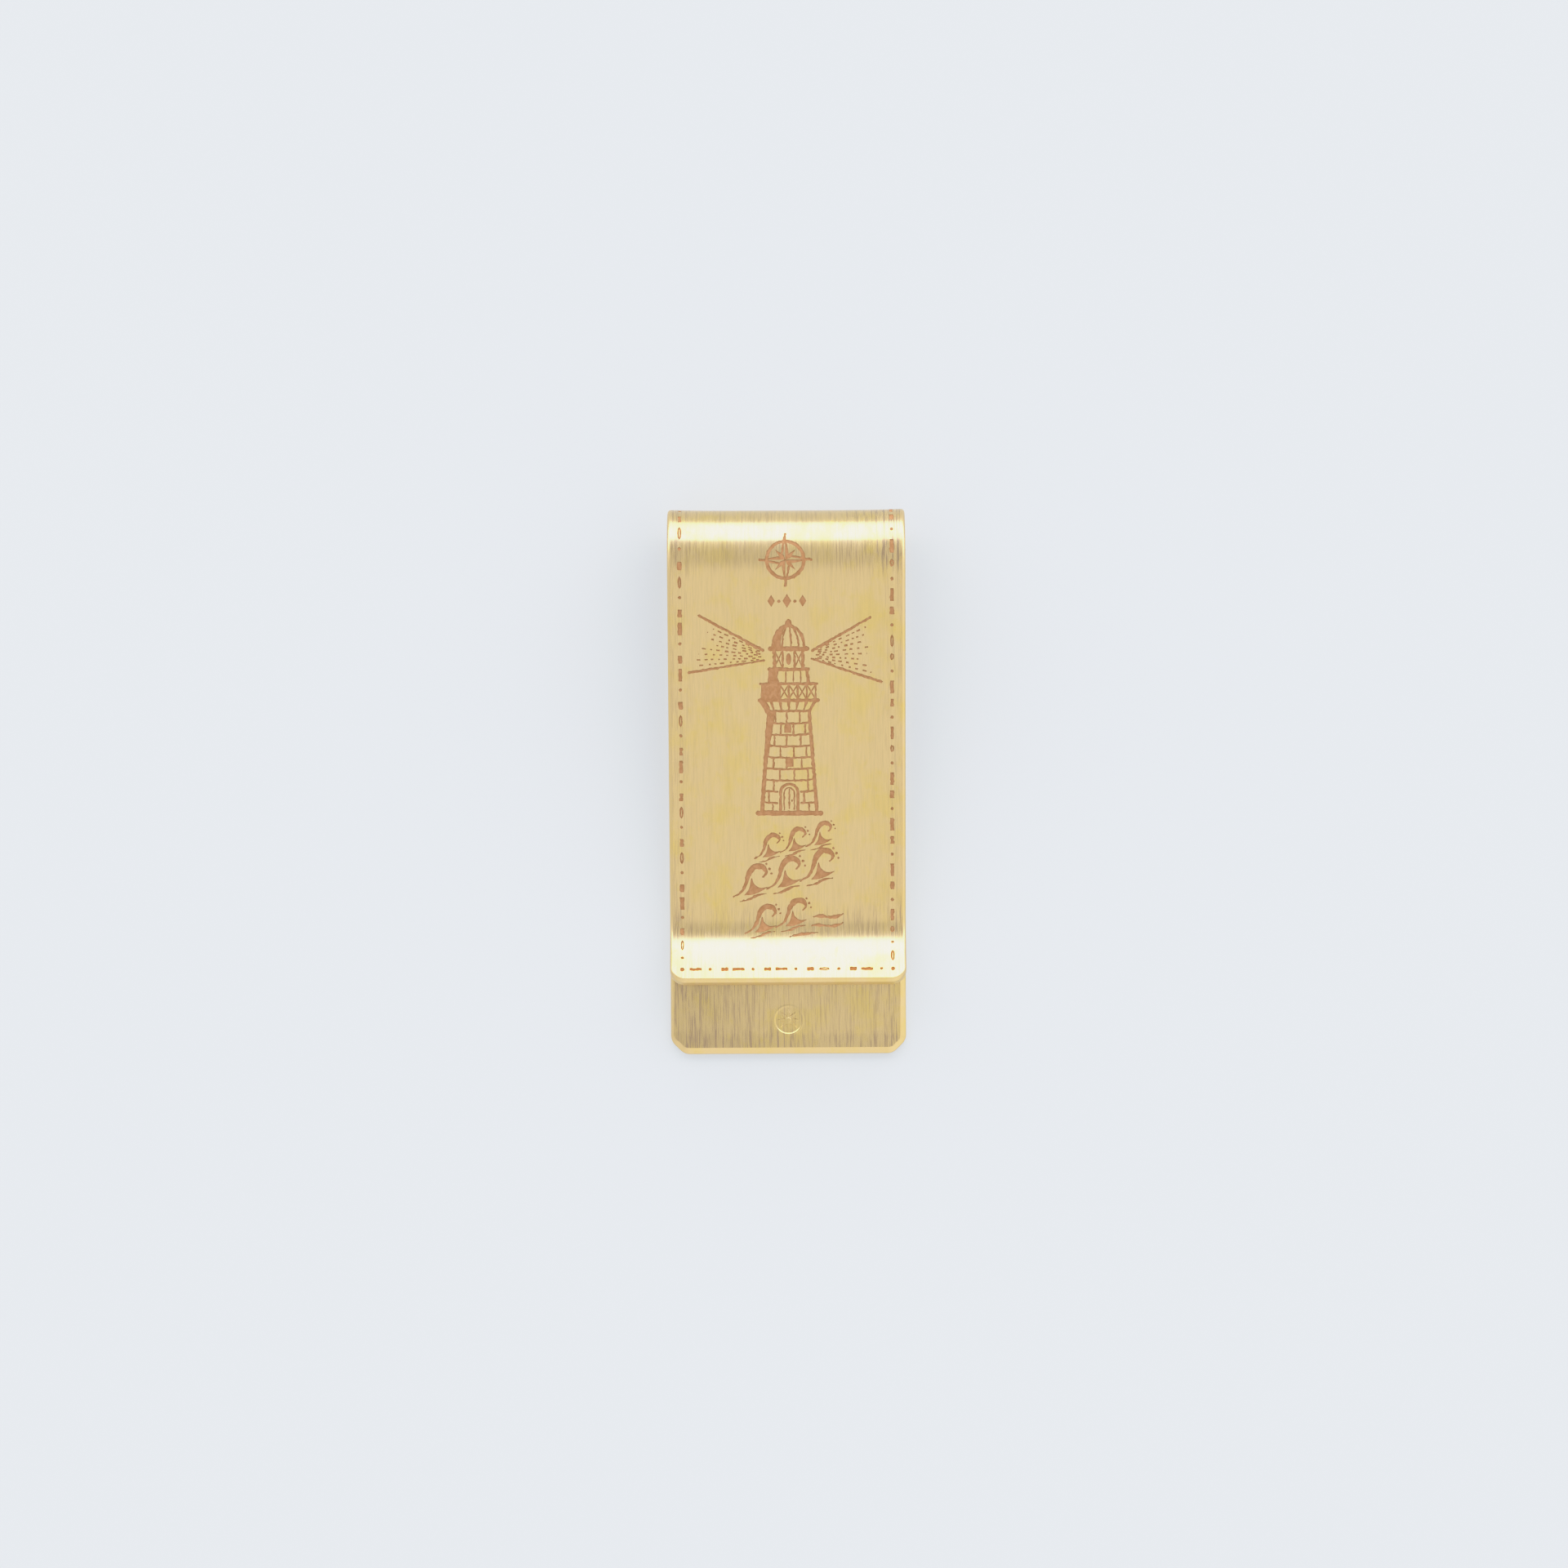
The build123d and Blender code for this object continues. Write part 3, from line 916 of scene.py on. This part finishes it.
def brushed_brass():
    """Satin brass: hairlines along the strip in its height, gloss and colour, yellow patina in drifts, dark
    scores along both sides and on the back leaf, painted shade as dark lines in bands on the crest, the nip
    and the tip, standing in for dark reflections, and plain smooth edges."""
    material = bpy.data.materials.new("brushed_brass")
    tree = Tree(material)
    across, along, _ = tree.parts(tree.place())
    face = 1 - tree.add("ShaderNodeAttribute", {"attribute_name": "edge"}, {}, "Fac")
    hairlines = tree.noise((6.0, 0.3, 0.3), 3.0, 0.62)
    fine = tree.noise((13.0, 0.55, 0.55), 2.0, 0.6, 7.0)
    scores = tree.noise((5.4, 0.17, 0.17), 3.0, 0.72, 23.0)
    bands = tree.noise((0.7, 0.02, 0.02), 2.0, 0.5, 3.0)
    drifts = tree.noise((0.26, 0.2, 0.2), 4.0, 0.62, 11.0)
    spots = tree.noise((1.1, 0.6, 0.6), 3.0, 0.65, 19.0)
    drawn = hairlines * 0.6 + fine * 0.4

    # Where dark lines are drawn: scores on both sides and on the back leaf, most of all its left; and painted shade,
    #     # standing in for dark reflections, in bands on the crest, most of all its right, on the nip and at the tip.
    #     The
    #     # borders of the crest, the nip and the tip are ragged
    sides = tree.smooth(across.math("ABSOLUTE"), 0.0085, 0.0122)
    back = tree.smooth(along, -0.017, -0.0205)
    back_left = tree.smooth(across, 0.001, -0.0115) * back
    ragged = along + (fine - 0.5) * 0.002
    # Painted shade: bands of dark lines on the crest, the nip and the tip stand in for dark reflections
    crest = tree.smooth(ragged, 0.0208, 0.0236)
    crest_right = tree.smooth(across, 0.004, 0.0115) * crest
    nip = tree.smooth(ragged, -0.0122, -0.0148) * tree.smooth(along, -0.0168, -0.0158)
    tip = tree.smooth(along + (spots - 0.5) * 0.003, -0.0262, -0.0271)
    scores_and_painted_shade = sides * 0.3 + crest * 0.3 + nip * 0.42 + back * 0.42 + back_left * 0.45
    scores_and_painted_shade = (scores_and_painted_shade + crest_right * 0.5 + tip * 0.45) * face
    dark_lines = tree.smooth(scores * 0.75 + fine * 0.25, 0.515, 0.405) * scores_and_painted_shade

    patina = tree.smooth(drifts, 0.44, 0.7) + tree.smooth(spots, 0.56, 0.72) * 0.6
    colour = tree.mix(patina * 0.75, POLISHED, TARNISHED)
    shade = tree.smooth(drawn, 0.36, 0.58, 0.945, 1.0) * tree.smooth(bands, 0.3, 0.6, 0.985, 1.0)
    # Darker on the back leaf, most of all on its left, and at the tip, where it is painted shade
    darkened = (back * 0.045 + back_left * 0.1 + tip * 0.07) * face
    shade = (1 - (1 - shade) * face) * (1 - darkened)
    # Dark lines in the colour of a score, which on the crest, the nip and the tip are painted shade
    colour = tree.mix(dark_lines, tree.tint(colour, shade), SCORED_AND_SHADED)
    gloss = tree.smooth(drawn, 0.3, 0.7, 0.18, 0.26) * face + (1 - face) * 0.34 + scores_and_painted_shade * 0.05
    bump = tree.add(
        "ShaderNodeBump", {}, {"Strength": face * 0.8, "Distance": BRUSH_RELIEF * MM, "Height": drawn}
    )
    tree.show({"Base Color": colour, "Roughness": gloss, "Metallic": 1.0, "Normal": bump})
    return material


def bitten_copper():
    """The etched metal: matt, brown-pink copper, mottled, with a fine pitted grain, and more orange on the
    lip."""
    material = bpy.data.materials.new("bitten_copper")
    tree = Tree(material)
    mottle = tree.noise((2.6, 2.0, 2.0), 3.0, 0.6)
    grain = tree.noise((13.0, 11.0, 11.0), 2.0, 0.5, 5.0)
    _, along, _ = tree.parts(tree.place())
    colour = tree.mix(tree.smooth(mottle, 0.35, 0.66), COPPER_DARK, COPPER_LIGHT)
    colour = tree.mix(tree.smooth(along, -0.0162, -0.0182), colour, COPPER_LIP)
    colour = tree.tint(colour, tree.smooth(grain, 0.3, 0.55, 0.84, 1.0))
    bump = tree.add("ShaderNodeBump", {}, {"Strength": 0.7, "Distance": PIT_DEPTH * MM, "Height": grain})
    tree.show({
        "Base Color": colour, "Roughness": tree.smooth(grain, 0.3, 0.7, 0.66, 0.8), "Metallic": 0.0,
        "Specular IOR Level": 0.12, "Normal": bump,
    })
    return material


def table_top():
    """The pale floor: matt, very slightly uneven, and lit a little from within so that shadows stay light."""
    material = bpy.data.materials.new("table_top")
    tree = Tree(material)
    cloud = tree.noise((0.01, 0.01, 0.01), 2.0, 0.5)
    colour = tree.mix(cloud, (0.262, 0.274, 0.286, 1), (0.270, 0.281, 0.292, 1))
    tree.show({
        "Base Color": colour, "Roughness": 0.85, "Specular IOR Level": 0.1,
        "Emission Color": (0.93, 0.962, 1.0, 1), "Emission Strength": 0.51,
    })
    return material


# --------------------
# The pieces

# The strip is cut where no mark is: just before the bend, and where it has nearly turned
BACK_CUT = section_start[1] - 1.7
FRONT_CUT = section_start[2] - 1.82

etched = drawing()
finishes = [brushed_brass(), bitten_copper()]


def within(shapes, start, end):
    """The shapes that lie on one length of the strip."""
    return [shape for shape in shapes if start < shape[:, 1].mean() < end]


back = strip_length("back_leaf_strip", 0, BACK_CUT, TIP_END, within(etched, 0, BACK_CUT), finishes)
bend = strip_length("bend_strip", BACK_CUT, FRONT_CUT, None, within(etched, BACK_CUT, FRONT_CUT), finishes)
front = strip_length(
    "front_leaf_strip", FRONT_CUT, STRIP_LENGTH, LIP_END, within(etched, FRONT_CUT, STRIP_LENGTH), finishes
)
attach(back, "back")
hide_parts("back_leaf")
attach(front, "front")
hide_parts("shoulder", "front_leaf", "nip", "lip")
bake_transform(bend)
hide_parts("bend_lower", "bend_upper")

# --------------------
# Floor, light and camera

FLOOR_HALF = 6.0
floor_mesh = bpy.data.meshes.new("floor")
floor_mesh.from_pydata(
    [(x * FLOOR_HALF, y * FLOOR_HALF, 0) for x, y in ((-1, -1), (1, -1), (1, 1), (-1, 1))], [], [(0, 1, 2, 3)]
)
floor_mesh.materials.append(table_top())
floor = bpy.data.objects.new("floor", floor_mesh)
bpy.context.scene.collection.objects.link(floor)


ROOM_LEVEL = 0.925
ROOM_COLOUR = (0.98, 0.99, 1.0, 1)
SIDE_LEVEL = 0.13  # how much brighter the right is than the middle, and the left duller
PANEL_LEVEL = 1.95
PANEL_RIM_COLOUR = (0.82, 0.95, 1.42, 1)
OVERHEAD_LEVEL = 0.22
FRONT_LEVEL = 0.17


def studio():
    """Soft light from all round: even walls, a broad bright panel beyond the bend whose rim is bluer, a
    duller patch overhead, and a little more light low down in front."""
    world = bpy.data.worlds.new("studio")
    bpy.context.scene.world = world
    tree = Tree(world)
    x, y, z = tree.parts(tree.add("ShaderNodeTexCoord", {}, {}, "Generated"))
    lean = y.math("ARCTAN2", z)  # from straight up towards the bend's side, in radians
    sideways = tree.smooth(x.math("ABSOLUTE"), 0.93, 0.99, 1.0, 0.0)
    panel = tree.smooth(lean, radians(28), radians(44))
    panel = panel * tree.smooth(lean, radians(80), radians(94), 1.0, 0.0) * sideways
    front = tree.smooth(lean, radians(-48), radians(-72)) * sideways
    overhead_lean = (lean - radians(16.5)) * (1 / radians(15.5))
    overhead = tree.smooth(overhead_lean**2 + (x * (1 / 0.3)) ** 2, 0.4, 1.7, 1.0, 0.0)
    side = tree.smooth(x, -0.95, 0.95, -SIDE_LEVEL, SIDE_LEVEL)
    level = panel * PANEL_LEVEL + front * FRONT_LEVEL + ROOM_LEVEL - overhead * OVERHEAD_LEVEL + side
    rim = tree.smooth(panel, 0.0, 0.25) * tree.smooth(panel, 1.0, 0.5)
    colour = tree.mix(rim, ROOM_COLOUR, PANEL_RIM_COLOUR)
    shade = tree.add("ShaderNodeBackground", {}, {"Color": colour, "Strength": level})
    tree.add("ShaderNodeOutputWorld", {}, {"Surface": shade})


# Levels of light, and the brightness that each is shown at
BRIGHTEST = 3.0
BRIGHTEST_SHOWN = 0.925
SHOWN = ((0.78, 0.775), (0.9, 0.866), (1.0, 0.878), (1.55, 0.888), (2.06, 0.905))


def soft_shoulder():
    """Highlights roll off as they do on film: low levels stay as they are, and higher ones come ever
    closer."""
    view = bpy.context.scene.view_settings
    view.view_transform = "Standard"
    view.use_curve_mapping = True
    mapping = view.curve_mapping
    mapping.white_level = (BRIGHTEST, BRIGHTEST, BRIGHTEST)
    curve = mapping.curves[3]
    curve.points[-1].location = (1, BRIGHTEST_SHOWN)
    for level, shown in SHOWN:
        curve.points.new(level / BRIGHTEST, shown)
    for point in curve.points:
        point.handle_type = "VECTOR"
    mapping.update()


studio()
soft_shoulder()

CAMERA_HEIGHT = 0.55
VIEW_WIDTH = 0.1671  # what the frame takes in at the floor
SENSOR_WIDTH = 36
camera_data = bpy.data.cameras.new("camera")
camera_data.sensor_width = SENSOR_WIDTH
camera_data.lens = SENSOR_WIDTH * CAMERA_HEIGHT / VIEW_WIDTH
camera = bpy.data.objects.new("camera", camera_data)
camera.location = (-0.00035, -0.0001, CAMERA_HEIGHT)
camera.rotation_euler = (0, 0, radians(-0.3))
bpy.context.scene.collection.objects.link(camera)
bpy.context.scene.camera = camera
